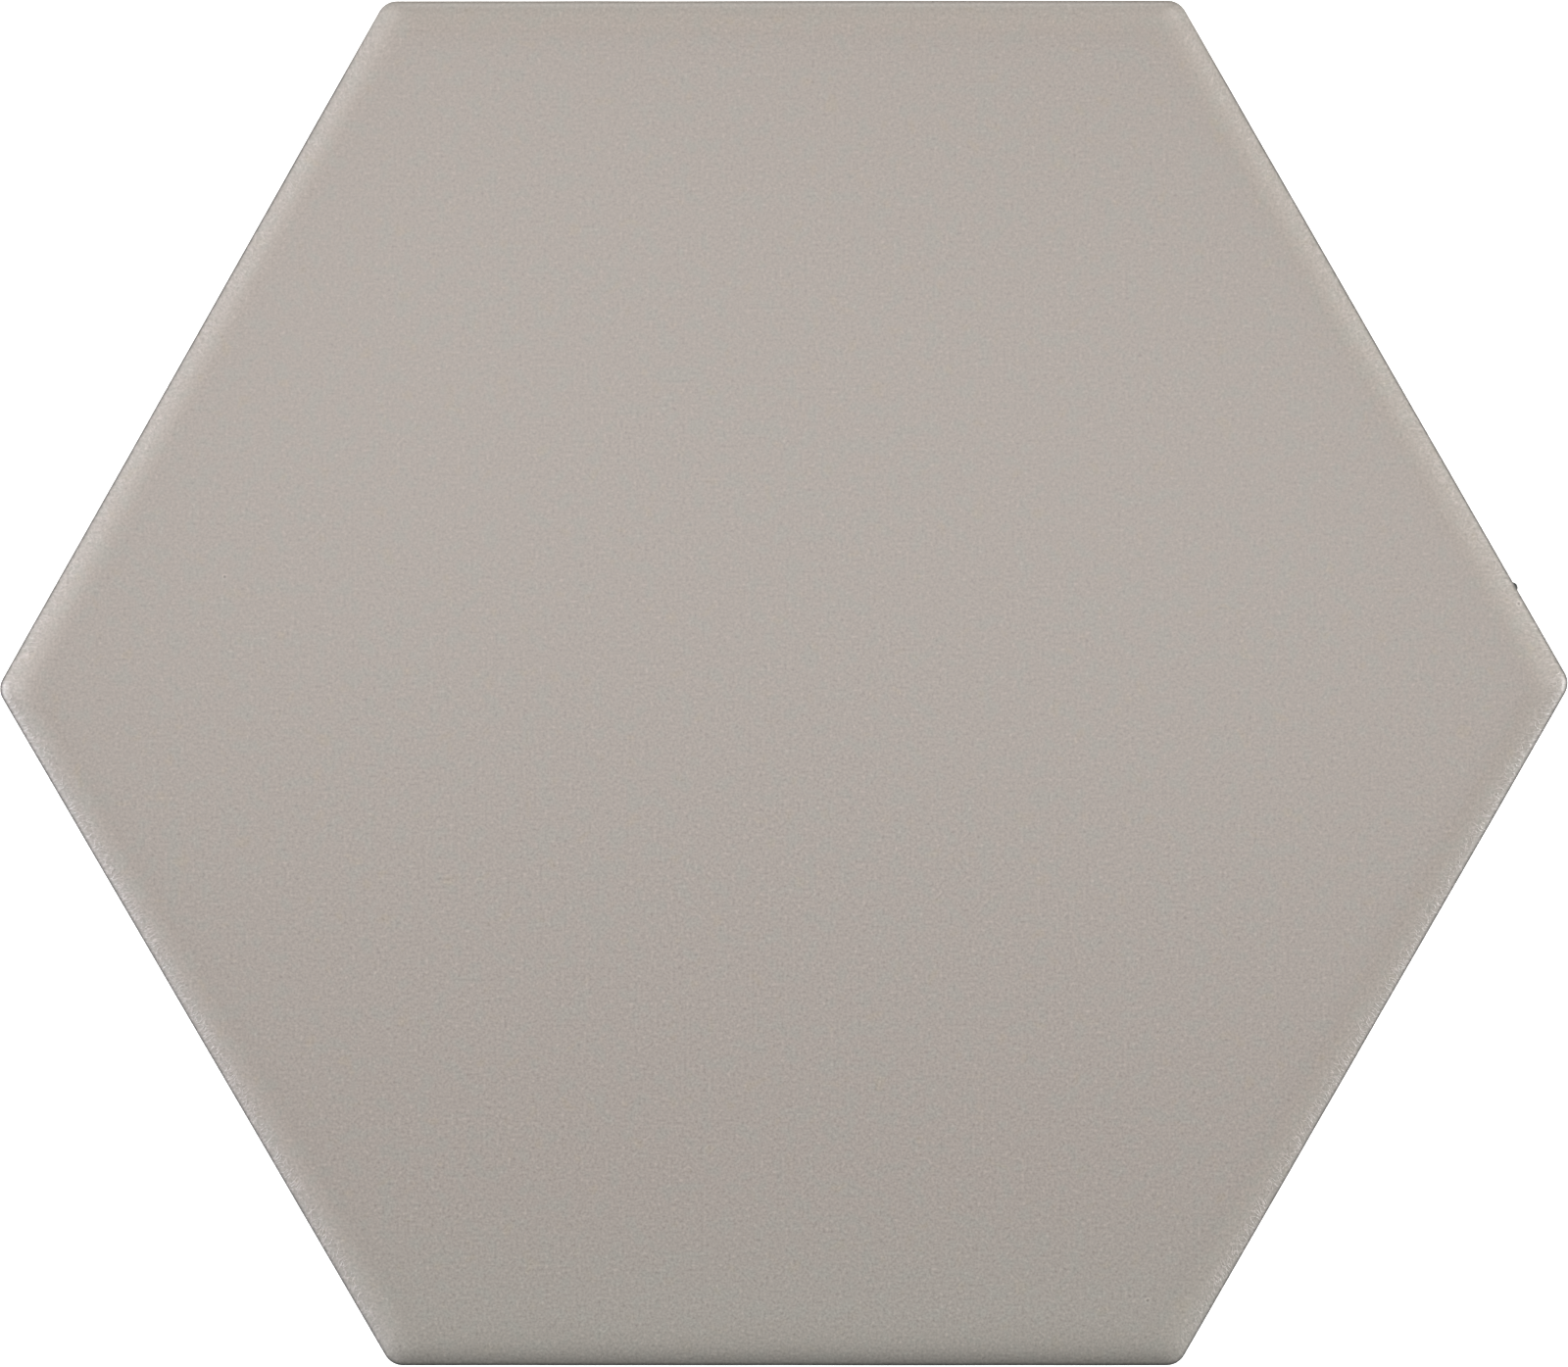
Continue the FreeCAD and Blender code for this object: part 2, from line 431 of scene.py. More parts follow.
def key_field_tree(sweep):
    """Node group that sets pockets in rings on a triangular grid, each with the half ribs round it."""
    tree, given = new_tree("Key Field", (
        ("Section", "Geometry"), ("Pitch", "Float"), ("Rings", "Int"),
        ("Corner Steps", "Int"), ("Side Steps", "Int")))
    pocket = add(tree, "GeometryNodeGroup", {
        "Section": given["Section"], "Across Flats": given["Pitch"], "First Corner": TURN / 2,
        "Corner Steps": given["Corner Steps"], "Side Steps": given["Side Steps"]}, node_tree=sweep)

    rings = given["Rings"]
    row = add(tree, "ShaderNodeMath", {0: rings, 1: 2.0, 2: 1.0}, operation="MULTIPLY_ADD")
    count = add(tree, "ShaderNodeMath", {0: row, 1: row}, operation="MULTIPLY")
    index = add(tree, "GeometryNodeInputIndex")
    along = add(tree, "ShaderNodeMath", {0: index, 1: row}, operation="MODULO")
    whole = add(tree, "ShaderNodeMath", {0: index, 1: row}, operation="DIVIDE")
    up = add(tree, "ShaderNodeMath", {0: whole}, operation="FLOOR")
    i = add(tree, "ShaderNodeMath", {0: along, 1: rings}, operation="SUBTRACT")
    j = add(tree, "ShaderNodeMath", {0: up, 1: rings}, operation="SUBTRACT")
    shifted = add(tree, "ShaderNodeMath", {0: j, 1: 0.5, 2: i}, operation="MULTIPLY_ADD")
    lifted = add(tree, "ShaderNodeMath", {0: j, 1: math.sin(TURN)}, operation="MULTIPLY")
    place = add(tree, "ShaderNodeCombineXYZ", {"X": shifted, "Y": lifted})
    spaced = add(tree, "ShaderNodeVectorMath", {0: place, "Scale": given["Pitch"]}, operation="SCALE")
    points = add(tree, "GeometryNodePoints", {"Count": count, "Position": spaced})

    # Places further than the last ring from the middle are left out
    total = add(tree, "ShaderNodeMath", {0: i, 1: j})
    steps_off = add(tree, "ShaderNodeMath", {0: total}, operation="ABSOLUTE")
    outside = add(tree, "FunctionNodeCompare", {"A": steps_off, "B": rings}, operation="GREATER_THAN")
    kept = add(tree, "GeometryNodeDeleteGeometry", {"Geometry": points, "Selection": outside})
    field = add(tree, "GeometryNodeInstanceOnPoints", {"Points": kept, "Instance": pocket})
    real = add(tree, "GeometryNodeRealizeInstances", {"Geometry": field})
    welded = add(tree, "GeometryNodeMergeByDistance", {"Geometry": real, "Distance": WELD})
    add(tree, "NodeGroupOutput", {"Geometry": welded})
    return tree


def plain_land(tree, shell, keys):
    """Flat land between the shell's open foot and the outline of the key field."""
    neighbours = add(tree, "GeometryNodeInputMeshEdgeNeighbors")
    open_edge = add(tree, "FunctionNodeCompare", {
        "A": neighbours, "B": 1}, data_type="INT", operation="EQUAL")
    loops = [
        add(tree, "GeometryNodeMeshToCurve", {"Mesh": part, "Selection": open_edge})
        for part in (shell, keys)]
    both = add(tree, "GeometryNodeJoinGeometry", {"Geometry": loops})
    land = add(tree, "GeometryNodeFillCurve", {"Curve": both})
    return add(tree, "GeometryNodeFlipFaces", {"Mesh": land})


def wandering_line(tree, given, shell, position):
    """Shell whose glaze line wanders slowly up and down, with a little quick unevenness on top."""
    slow = add(tree, "ShaderNodeTexNoise", {
        "Vector": position, "W": given["Seed"], "Scale": 1 / (22 * MM), "Detail": 3.0, "Roughness": 0.55},
        noise_dimensions="4D")
    pull = add(tree, "GeometryNodeInputNamedAttribute", {"Name": "pull"}, data_type="FLOAT")
    centred = add(tree, "ShaderNodeMath", {0: slow, 1: 0.5}, operation="SUBTRACT")
    pulled = add(tree, "ShaderNodeMath", {0: centred, 1: pull}, operation="MULTIPLY")
    drop = add(tree, "ShaderNodeMath", {0: pulled, 1: given["Line Wander"]}, operation="MULTIPLY")
    shift = add(tree, "ShaderNodeCombineXYZ", {"Z": drop})
    return add(tree, "GeometryNodeSetPosition", {"Geometry": shell, "Offset": shift})


def waved_coat(tree, given, shell, position, glazed):
    """Shell with slow waves sunk into its coat, mostly at the rim. None stands above the nominal surface."""
    rim = add(tree, "GeometryNodeInputNamedAttribute", {"Name": "rim"}, data_type="FLOAT")
    wave = add(tree, "ShaderNodeTexNoise", {
        "Vector": position, "W": given["Seed"], "Scale": 1 / (9 * MM), "Detail": 1.0}, noise_dimensions="4D")
    share = add(tree, "ShaderNodeMapRange", {"Value": rim, "To Min": 0.2})
    sunk = add(tree, "ShaderNodeMath", {0: wave, 1: share}, operation="MULTIPLY")
    inward = add(tree, "ShaderNodeMath", {0: given["Wave"], 1: -1.0}, operation="MULTIPLY")
    depth = add(tree, "ShaderNodeMath", {0: sunk, 1: inward}, operation="MULTIPLY")
    coated_depth = add(tree, "ShaderNodeMath", {0: depth, 1: glazed}, operation="MULTIPLY")
    normal = add(tree, "GeometryNodeInputNormal")
    offset = add(tree, "ShaderNodeVectorMath", {0: normal, "Scale": coated_depth}, operation="SCALE")
    return add(tree, "GeometryNodeSetPosition", {"Geometry": shell, "Offset": offset})


def glaze_burr(tree, given):
    """One small burr of glaze, for the side that faces 30 degrees."""
    ball = add(tree, "GeometryNodeMeshIcoSphere", {"Subdivisions": 3, "Radius": 1.0})
    burr = add(tree, "GeometryNodeTransform", {
        "Geometry": ball, "Translation": given["Burr Place"], "Rotation": (0, 0, TURN / 2),
        "Scale": given["Burr Size"]})
    for name in ("glazed", "rim", "arris"):
        burr = add(tree, "GeometryNodeStoreNamedAttribute", {"Geometry": burr, "Name": name, "Value": 1.0})
    return burr


def drifted(tree, given, unit, position):
    """Unit whose corners drifted a little in pressing and firing.

    A corner's drift fades to nothing at its neighbours and at the middle, in straight lines, so that the
    sides stay straight.
    """
    for corner in range(SIDES):
        bearing = corner * TURN
        out, across = [
            add(tree, "ShaderNodeVectorMath", {
                0: position, 1: (math.cos(angle), math.sin(angle), 0)},
                operation="DOT_PRODUCT").outputs["Value"]
            for angle in (bearing, bearing + math.pi / 2)]
        aside = add(tree, "ShaderNodeMath", {0: across}, operation="ABSOLUTE")
        reach = add(tree, "ShaderNodeMath", {
            0: aside, 1: -math.tan(TURN / 2), 2: out}, operation="MULTIPLY_ADD")
        weight = add(tree, "ShaderNodeMapRange", {"Value": reach, "From Max": TO_TIP * HIGH.y})
        drift = add(tree, "ShaderNodeVectorMath", {
            0: given["Drift %d" % corner], "Scale": weight}, operation="SCALE")
        unit = add(tree, "GeometryNodeSetPosition", {"Geometry": unit, "Offset": drift})
    return unit


def tile_tree():
    """Node tree of the whole unit: glazed shell, keyed back, the plain land that joins them, and one burr."""
    tree, given = new_tree("Fired Tile", (
        ("Section", "Geometry"), ("Across Flats", "Float"), ("Corner Steps", "Int"), ("Side Steps", "Int"),
        ("Key Section", "Object"), ("Key Pitch", "Float"), ("Key Rings", "Int"), ("Key Corner Steps", "Int"),
        ("Key Side Steps", "Int"), ("Line Wander", "Float"), ("Wave", "Float"), ("Seed", "Float"),
        ("Burr Place", "Vector"), ("Burr Size", "Vector"), ("Glaze", "Material"), ("Body", "Material"),
        *[("Drift %d" % corner, "Vector") for corner in range(SIDES)]))
    sweep = sweep_tree()
    shell = add(tree, "GeometryNodeGroup", {
        "Section": given["Section"], "Across Flats": given["Across Flats"],
        "Corner Steps": given["Corner Steps"], "Side Steps": given["Side Steps"]}, node_tree=sweep)
    profile = add(tree, "GeometryNodeObjectInfo", {"Object": given["Key Section"]})
    keys = add(tree, "GeometryNodeGroup", {
        "Section": profile.outputs["Geometry"], "Pitch": given["Key Pitch"], "Rings": given["Key Rings"],
        "Corner Steps": given["Key Corner Steps"], "Side Steps": given["Key Side Steps"]},
        node_tree=key_field_tree(sweep))
    land = plain_land(tree, shell, keys)

    position = add(tree, "GeometryNodeInputPosition")
    glazed = add(tree, "GeometryNodeInputNamedAttribute", {"Name": "glazed"}, data_type="FLOAT")
    lined = wandering_line(tree, given, shell, position)
    waved = waved_coat(tree, given, lined, position, glazed)
    burr = glaze_burr(tree, given)
    joined = add(tree, "GeometryNodeJoinGeometry", {"Geometry": [waved, keys, land, burr]})
    welded = add(tree, "GeometryNodeMergeByDistance", {"Geometry": joined, "Distance": WELD})
    unit = drifted(tree, given, welded, position)

    smooth = add(tree, "GeometryNodeSetShadeSmooth", {"Geometry": unit})
    real = add(tree, "GeometryNodeRealizeInstances", {"Geometry": smooth})
    bare = add(tree, "GeometryNodeSetMaterial", {"Geometry": real, "Material": given["Body"]})
    # Faces under the bead, between a glazed and a bare ring, count as half glazed and take the glaze
    coated = add(tree, "FunctionNodeCompare", {"A": glazed, "B": 0.4}, operation="GREATER_THAN")
    dressed = add(tree, "GeometryNodeSetMaterial", {
        "Geometry": bare, "Selection": coated, "Material": given["Glaze"]})
    add(tree, "NodeGroupOutput", {"Geometry": dressed})
    return tree


def grow(holder, tree, values):
    """Runs a node tree on an object with its inputs set, and leaves the result as the object's plain mesh."""
    modifier = holder.modifiers.new(tree.name, "NODES")
    modifier.node_group = tree
    identifiers = {s.name: s.identifier for s in tree.interface.items_tree if s.in_out == "INPUT"}
    for name, value in values.items():
        modifier[identifiers[name]] = value
    graph = bpy.context.evaluated_depsgraph_get()
    mesh = bpy.data.meshes.new_from_object(
        holder.evaluated_get(graph), preserve_all_data_layers=True, depsgraph=graph)
    for slot in reversed(range(len(mesh.materials))):
        if mesh.materials[slot] is None:
            mesh.materials.pop(index=slot)
    holder.modifiers.remove(modifier)
    holder.data = mesh
    mesh.name = holder.name


def glaze_tone(tree, look, place, xyz, rim, arris):
    """Tone of the glaze before its wrinkles and grain, with a painted cool reflection towards -Y and painted
    shade over the arris, and the play of its mottles.
    """
    # Faint clouds about 11 mm across under cooler mottles about 1.3 mm across
    clouds = add(tree, "ShaderNodeTexNoise", {"Vector": place, "Scale": 1 / (11 * MM), "Detail": 2.0})
    mottles = add(tree, "ShaderNodeTexNoise", {"Vector": place, "Scale": 1 / (1.3 * MM), "Detail": 1.0})
    play = add(tree, "ShaderNodeMix", {"Factor": 0.8, "A": clouds, "B": mottles})
    cool_share = add(tree, "ShaderNodeMapRange", {"Value": play, "From Min": 0.5, "From Max": 0.64})
    mottled = add(tree, "ShaderNodeMix", {
        "Factor": cool_share, "A": linear(look.warm), "B": linear(look.cool)}, data_type="RGBA")

    # Amber freckles about 0.7 mm across, few and faint
    freckles = add(tree, "ShaderNodeTexNoise", {
        "Vector": place, "Scale": 1 / (1.5 * MM), "Detail": 1.0, "Distortion": 0.3})
    freckle_share = add(tree, "ShaderNodeMapRange", {
        "Value": freckles, "From Min": 0.64, "From Max": 0.74, "To Max": 0.35})
    freckled = add(tree, "ShaderNodeMix", {
        "Factor": freckle_share, "A": mottled, "B": linear(look.freckle)}, data_type="RGBA")

    # Over the last 13.5 mm to the side that faces -Y a painted cool reflection turns it a little greener
    reflection_share = add(tree, "ShaderNodeMapRange", {
        "Value": xyz["Y"], "From Min": -37 * MM, "From Max": LOW.y, "To Max": 0.5})
    fired = add(tree, "ShaderNodeMix", {
        "Factor": reflection_share, "A": freckled, "B": linear(look.green)}, data_type="RGBA")

    # Down the rim the coat thins and turns cooler
    thinning = add(tree, "ShaderNodeMapRange", {"Value": rim, "From Min": 0.2, "To Max": 0.6})
    thinned = add(tree, "ShaderNodeMix", {
        "Factor": thinning, "A": fired, "B": linear(look.thin)}, data_type="RGBA")

    # Over the arris a dark painted shade lines the steep edge; it fades to a quarter at the side that faces
    # +Y, where the edge is lit
    edge_shade_fade = add(tree, "ShaderNodeMapRange", {
        "Value": xyz["Y"], "From Min": 44 * MM, "From Max": 50 * MM, "To Min": 1.0, "To Max": 0.25})
    edge_shade = add(tree, "ShaderNodeMath", {0: arris, 1: edge_shade_fade}, operation="MULTIPLY")
    edge_shaded = add(tree, "ShaderNodeMix", {
        "Factor": edge_shade, "A": thinned, "B": linear(look.arris)}, data_type="RGBA")
    return edge_shaded, play


def rim_wrinkles(tree, place, xyz, rim):
    """Wrinkles on the rim: how strongly each spot is wrinkled, and how near it is to a wrinkle's crest.

    They are short creases that run down the rim, whose crests are painted pale as glints of light. Real ones
    are
    0.2 mm apart, which a pixel can't hold, so they are drawn 0.3 mm apart.
    """
    # Their noise is laid out by the distance round the tile and, squeezed, by the distance down the rim
    bearing = add(tree, "ShaderNodeMath", {0: xyz["Y"], 1: xyz["X"]}, operation="ARCTAN2")
    along = add(tree, "ShaderNodeMath", {0: bearing, 1: HIGH.y}, operation="MULTIPLY")
    across = add(tree, "ShaderNodeMath", {0: rim, 1: 1.5 * MM}, operation="MULTIPLY")
    laid = add(tree, "ShaderNodeCombineXYZ", {"X": along, "Y": across})
    folds = add(tree, "ShaderNodeTexNoise", {
        "Vector": laid, "Scale": 1 / (0.3 * MM), "Detail": 0.0, "Distortion": 0.5})
    centred = add(tree, "ShaderNodeMath", {0: folds, 1: 0.5}, operation="SUBTRACT")
    off_crest = add(tree, "ShaderNodeMath", {0: centred}, operation="ABSOLUTE")
    crest = add(tree, "ShaderNodeMapRange", {
        "Value": off_crest, "From Max": 0.09, "To Min": 1.0, "To Max": 0.0}, interpolation_type="SMOOTHSTEP")

    # They lie on the outer part of the rim, in patches, and end just above the arris, which is 7.7 mm up
    patches = add(tree, "ShaderNodeTexNoise", {"Vector": place, "Scale": 1 / (1.5 * MM), "Detail": 1.0})
    patch_share = add(tree, "ShaderNodeMapRange", {
        "Value": patches, "From Min": 0.3, "From Max": 0.7, "To Min": 0.85, "To Max": 1.0})
    outer_part = add(tree, "ShaderNodeMapRange", {
        "Value": rim, "From Min": 0.42, "From Max": 0.75}, interpolation_type="SMOOTHSTEP")
    above_arris = add(tree, "ShaderNodeMapRange", {
        "Value": xyz["Z"], "From Min": 7.85 * MM, "From Max": 8.15 * MM})

    # The sides that face +Y and -Y, which end 29 mm from the middle, have none. Of the others, the two
    # towards -Y have the most. The wrinkles and their painted glints are kept to the sides that the low side
    # lights rake.
    side_end = 29 * MM
    fade = 2 * MM
    off_middle = add(tree, "ShaderNodeMath", {0: xyz["X"]}, operation="ABSOLUTE")
    slanted = add(tree, "ShaderNodeMapRange", {
        "Value": off_middle, "From Min": side_end - fade, "From Max": side_end + fade})
    towards = add(tree, "ShaderNodeMapRange", {
        "Value": xyz["Y"], "From Min": 8 * MM, "From Max": -8 * MM, "To Min": 0.5, "To Max": 0.66})

    crimp = outer_part
    for share in (above_arris, slanted, towards, patch_share):
        crimp = add(tree, "ShaderNodeMath", {0: crimp, 1: share}, operation="MULTIPLY")
    return crimp, crest


def glaze_grain(tree, xyz, play):
    """Grain of the glaze from 0.1 to 0.4 mm across, and the gain that it and its specks give the tone."""
    # On the face and the cushion the noise is read at one level, a whole number of grains up, where it is
    # finest. Down the sides it follows the height.
    size = 0.2 * MM
    level = add(tree, "ShaderNodeMath", {0: xyz["Z"], 1: 39 * size}, operation="MINIMUM")
    levelled = add(tree, "ShaderNodeCombineXYZ", {"X": xyz["X"], "Y": xyz["Y"], "Z": level})
    grain = add(tree, "ShaderNodeTexNoise", {
        "Vector": levelled, "Scale": 1 / size, "Detail": 1.0, "Roughness": 0.6})
    uneven = add(tree, "ShaderNodeMath", {0: play, 1: 0.1, 2: grain}, operation="MULTIPLY_ADD")
    shift = add(tree, "ShaderNodeMapRange", {
        "Value": uneven, "From Min": 0.3, "From Max": 0.8, "To Min": -0.155, "To Max": 0.155})

    # Sparse specks, pale and dark, stand out of the grain. Towards -Y all of it is a little stronger.
    specks = add(tree, "ShaderNodeTexNoise", {
        "Vector": levelled, "Scale": 1 / (0.3 * MM), "Detail": 0.0})
    pale_specks = add(tree, "ShaderNodeMapRange", {
        "Value": specks, "From Min": 0.66, "From Max": 0.78, "To Max": 0.13})
    dark_specks = add(tree, "ShaderNodeMapRange", {
        "Value": specks, "From Min": 0.34, "From Max": 0.22, "To Max": 0.1})
    paler = add(tree, "ShaderNodeMath", {0: shift, 1: pale_specks})
    specked = add(tree, "ShaderNodeMath", {0: paler, 1: dark_specks}, operation="SUBTRACT")
    strength = add(tree, "ShaderNodeMapRange", {
        "Value": xyz["Y"], "From Min": -50 * MM, "From Max": 50 * MM, "To Min": 1.1, "To Max": 0.8})
    gain = add(tree, "ShaderNodeMath", {0: specked, 1: strength, 2: 1.0}, operation="MULTIPLY_ADD")
    return grain, gain


def pinhole_shade_and_glint(tree, place):
    """Gain round the pinholes: a dark point of painted shade in each pit, in a pale ring of painted highlight
    round its lip.
    """
    flat = add(tree, "ShaderNodeVectorMath", {0: place, 1: (1, 1, 0)}, operation="MULTIPLY")
    nearest = None
    for x, y in PINHOLES:
        off = add(tree, "ShaderNodeVectorMath", {
            0: flat, 1: (x * MM, y * MM, 0)}, operation="DISTANCE").outputs["Value"]
        nearest = add(tree, "ShaderNodeMath", {0: nearest, 1: off}, operation="MINIMUM") if nearest else off
    reach = add(tree, "ShaderNodeMath", {0: nearest, 1: PINHOLE_RADIUS * MM}, operation="DIVIDE")
    ring = add(tree, "ShaderNodeValToRGB", {"Fac": reach})
    ring.color_ramp.elements[0].color = (0.55, 0.55, 0.55, 1)
    ring.color_ramp.elements[1].color = (1, 1, 1, 1)
    # Painted shade in the middle, painted highlight on the ring round it
    for at, gain in ((0.35, 0.75), (0.6, 1.25), (0.8, 1.2)):
        ring.color_ramp.elements.new(at).color = (gain, gain, gain, 1)
    return ring


def glaze_material(look):
    """Satin-matt glaze, sprayed dry and fired: an even warm grey with a soft broad shine.

    A dense fine grain breaks the shine up, faint warm and cool mottles keep the grey from looking painted,
    and at the rim, where the glaze is thin, it has dried into fine wrinkles. Light and shade are also painted
    into its colour: a cool reflection towards -Y, a lighter rim where it turns from the overhead lights,
    glints on the wrinkles' crests, and shade over the arris and in the pinholes.
    """
    material, tree = new_material("satin_matt_glaze_fired")
    place = add(tree, "ShaderNodeTexCoord").outputs["Object"]
    xyz = add(tree, "ShaderNodeSeparateXYZ", {0: place}).outputs
    rim, arris = [
        add(tree, "ShaderNodeAttribute", attribute_name=name).outputs["Fac"] for name in ("rim", "arris")]
    tone, play = glaze_tone(tree, look, place, xyz, rim, arris)
    crimp, crest = rim_wrinkles(tree, place, xyz, rim)
    grain, grain_gain = glaze_grain(tree, xyz, play)

    # Wrinkled spots are painted a little paler, and crests the palest: painted glints of light on the wrinkles
    crest_glint = add(tree, "ShaderNodeMapRange", {"Value": crest, "To Min": 0.05, "To Max": 0.6})
    pale = add(tree, "ShaderNodeMath", {0: crimp, 1: crest_glint}, operation="MULTIPLY")
    crest_glinted = add(tree, "ShaderNodeMix", {
        "Factor": pale, "A": tone, "B": linear(look.crest)}, data_type="RGBA")

    # Painted light down the rim: palest where the rim begins to fall and turns away from the overhead lights,
    # then painted shade darkening it to the arris
    painted_rim_light = add(tree, "ShaderNodeValToRGB", {"Fac": rim})
    painted_rim_light.color_ramp.elements[0].color = (1, 1, 1, 1)
    painted_rim_light.color_ramp.elements[1].color = (0.96, 0.96, 0.96, 1)
    for at, gain in (
            (0.03, 1.015), (0.08, 1.04), (0.22, 1.085), (0.32, 1.11), (0.42, 1.11), (0.51, 1.095),
            (0.6, 1.075), (0.72, 1.025), (0.85, 0.975)):
        painted_rim_light.color_ramp.elements.new(at).color = (gain, gain, gain, 1)

    even = add(tree, "ShaderNodeVectorMath", {0: crest_glinted, 1: painted_rim_light}, operation="MULTIPLY")
    grained = add(tree, "ShaderNodeVectorMath", {0: even, "Scale": grain_gain}, operation="SCALE")
    colour = add(tree, "ShaderNodeVectorMath", {
        0: grained, 1: pinhole_shade_and_glint(tree, place)}, operation="MULTIPLY")

    # The thin glaze of the rim and the arris is drier, but its grit has melted smoother than the face's
    grain_rough = add(tree, "ShaderNodeMapRange", {
        "Value": grain, "To Min": look.roughness - 0.05, "To Max": look.roughness + 0.05})
    rim_rough = add(tree, "ShaderNodeMath", {0: rim, 1: 0.06, 2: grain_rough}, operation="MULTIPLY_ADD")
    rough = add(tree, "ShaderNodeMath", {0: arris, 1: 0.3, 2: rim_rough}, operation="MULTIPLY_ADD")
    grit_share = add(tree, "ShaderNodeMapRange", {
        "Value": rim, "From Max": 0.3, "To Min": 0.5, "To Max": 0.15})
    grit = add(tree, "ShaderNodeBump", {"Strength": grit_share, "Distance": 0.01 * MM, "Height": grain})
    crimped = add(tree, "ShaderNodeBump", {
        "Strength": crimp, "Distance": 0.02 * MM, "Height": crest, "Normal": grit})
    shader = add(tree, "ShaderNodeBsdfPrincipled", {
        "Base Color": colour, "Roughness": rough, "IOR": 1.5, "Normal": crimped})
    add(tree, "ShaderNodeOutputMaterial", {"Surface": shader})
    return material


def body_material(look):
    """Pressed porcelain body, fired and bare: pale and fully matt, with fine grit and a few darker grains."""
    material, tree = new_material("bare_pressed_porcelain")
    place = add(tree, "ShaderNodeTexCoord").outputs["Object"]

    # Pressed granules are 0.2 to 0.5 mm across
    granules = add(tree, "ShaderNodeTexVoronoi", {"Vector": place, "Scale": 1 / (0.45 * MM)})
    grains = add(tree, "ShaderNodeTexNoise", {
        "Vector": place, "Scale": 1 / (0.6 * MM), "Detail": 3.0, "Roughness": 0.6})
    grain_share = add(tree, "ShaderNodeMapRange", {"Value": grains, "From Min": 0.58, "From Max": 0.74})
    tone = add(tree, "ShaderNodeMix", {
        "Factor": grain_share, "A": linear(look.colour), "B": linear(look.grog)}, data_type="RGBA")
    relief = add(tree, "ShaderNodeBump", {"Strength": 0.5, "Distance": 0.03 * MM, "Height": granules})
    grit = add(tree, "ShaderNodeBump", {
        "Strength": 0.4, "Distance": 0.03 * MM, "Height": grains, "Normal": relief})
    shader = add(tree, "ShaderNodeBsdfPrincipled", {
        "Base Color": tone, "Roughness": 0.88, "IOR": 1.5, "Normal": grit})
    add(tree, "ShaderNodeOutputMaterial", {"Surface": shader})
    return material


class TILE_OT_fired_tile(bpy.types.Operator):
    """Builds the fired tile: glazed shell and bare keyed back as one closed mesh"""
    bl_idname = "tile.fired_tile"
    bl_label = "Fired Tile"

    def execute(self, context):
        scene = context.scene
        sizes, keys, glaze = scene.tile_sizes, scene.tile_keys, scene.tile_glaze
        pitch = key_pitch(sizes, keys)
        tile = section_object("fired_tile", tile_section(sizes, glaze))
        pocket = section_object("key_section", key_section(pitch, keys))
        drifts = {
            "Drift %d" % corner: (*sizes.corner_drift[2 * corner:2 * corner + 2], 0)
            for corner in range(SIDES)}
        grow(tile, tile_tree(), {
            "Across Flats": sizes.across_flats,
            "Corner Steps": sizes.corner_steps, "Side Steps": sizes.side_steps,
            "Key Section": pocket, "Key Pitch": pitch, "Key Rings": keys.rings,
            "Key Corner Steps": keys.corner_steps, "Key Side Steps": keys.side_steps,
            "Line Wander": glaze.line_wander, "Wave": glaze.wave, "Seed": glaze.seed,
            "Burr Place": burr_place(sizes, glaze), "Burr Size": glaze.burr_size,
            "Glaze": glaze_material(glaze), "Body": body_material(scene.tile_body), **drifts})
        bpy.data.objects.remove(pocket)
        if len(tile.data.materials) != 2:
            raise RuntimeError("the tile needs its glaze and its bare body")
        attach(tile, "root")
        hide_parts(NODE)
        return {"FINISHED"}


def soft_box(name, azimuth, elevation, width, height, power, colour):
    """Soft light that faces the tile, at an azimuth from +X and an elevation above the floor, in degrees.

    Its width and height are in metres, its power in watts.
    """
    light = bpy.data.lights.new(name, "AREA")
    light.shape = "RECTANGLE"
    light.size = width
    light.size_y = height
    light.energy = power
    light.color = linear(colour)[:3]
    lamp = bpy.data.objects.new(name, light)
    bpy.context.scene.collection.objects.link(lamp)
    a, e = math.radians(azimuth), math.radians(elevation)
    towards = Vector((math.cos(a) * math.cos(e), math.sin(a) * math.cos(e), math.sin(e)))
    lamp.location = towards * LIGHT_DISTANCE
    lamp.rotation_euler = (math.pi / 2 - e, 0, math.pi / 2 + a)
    lamp.visible_camera = False


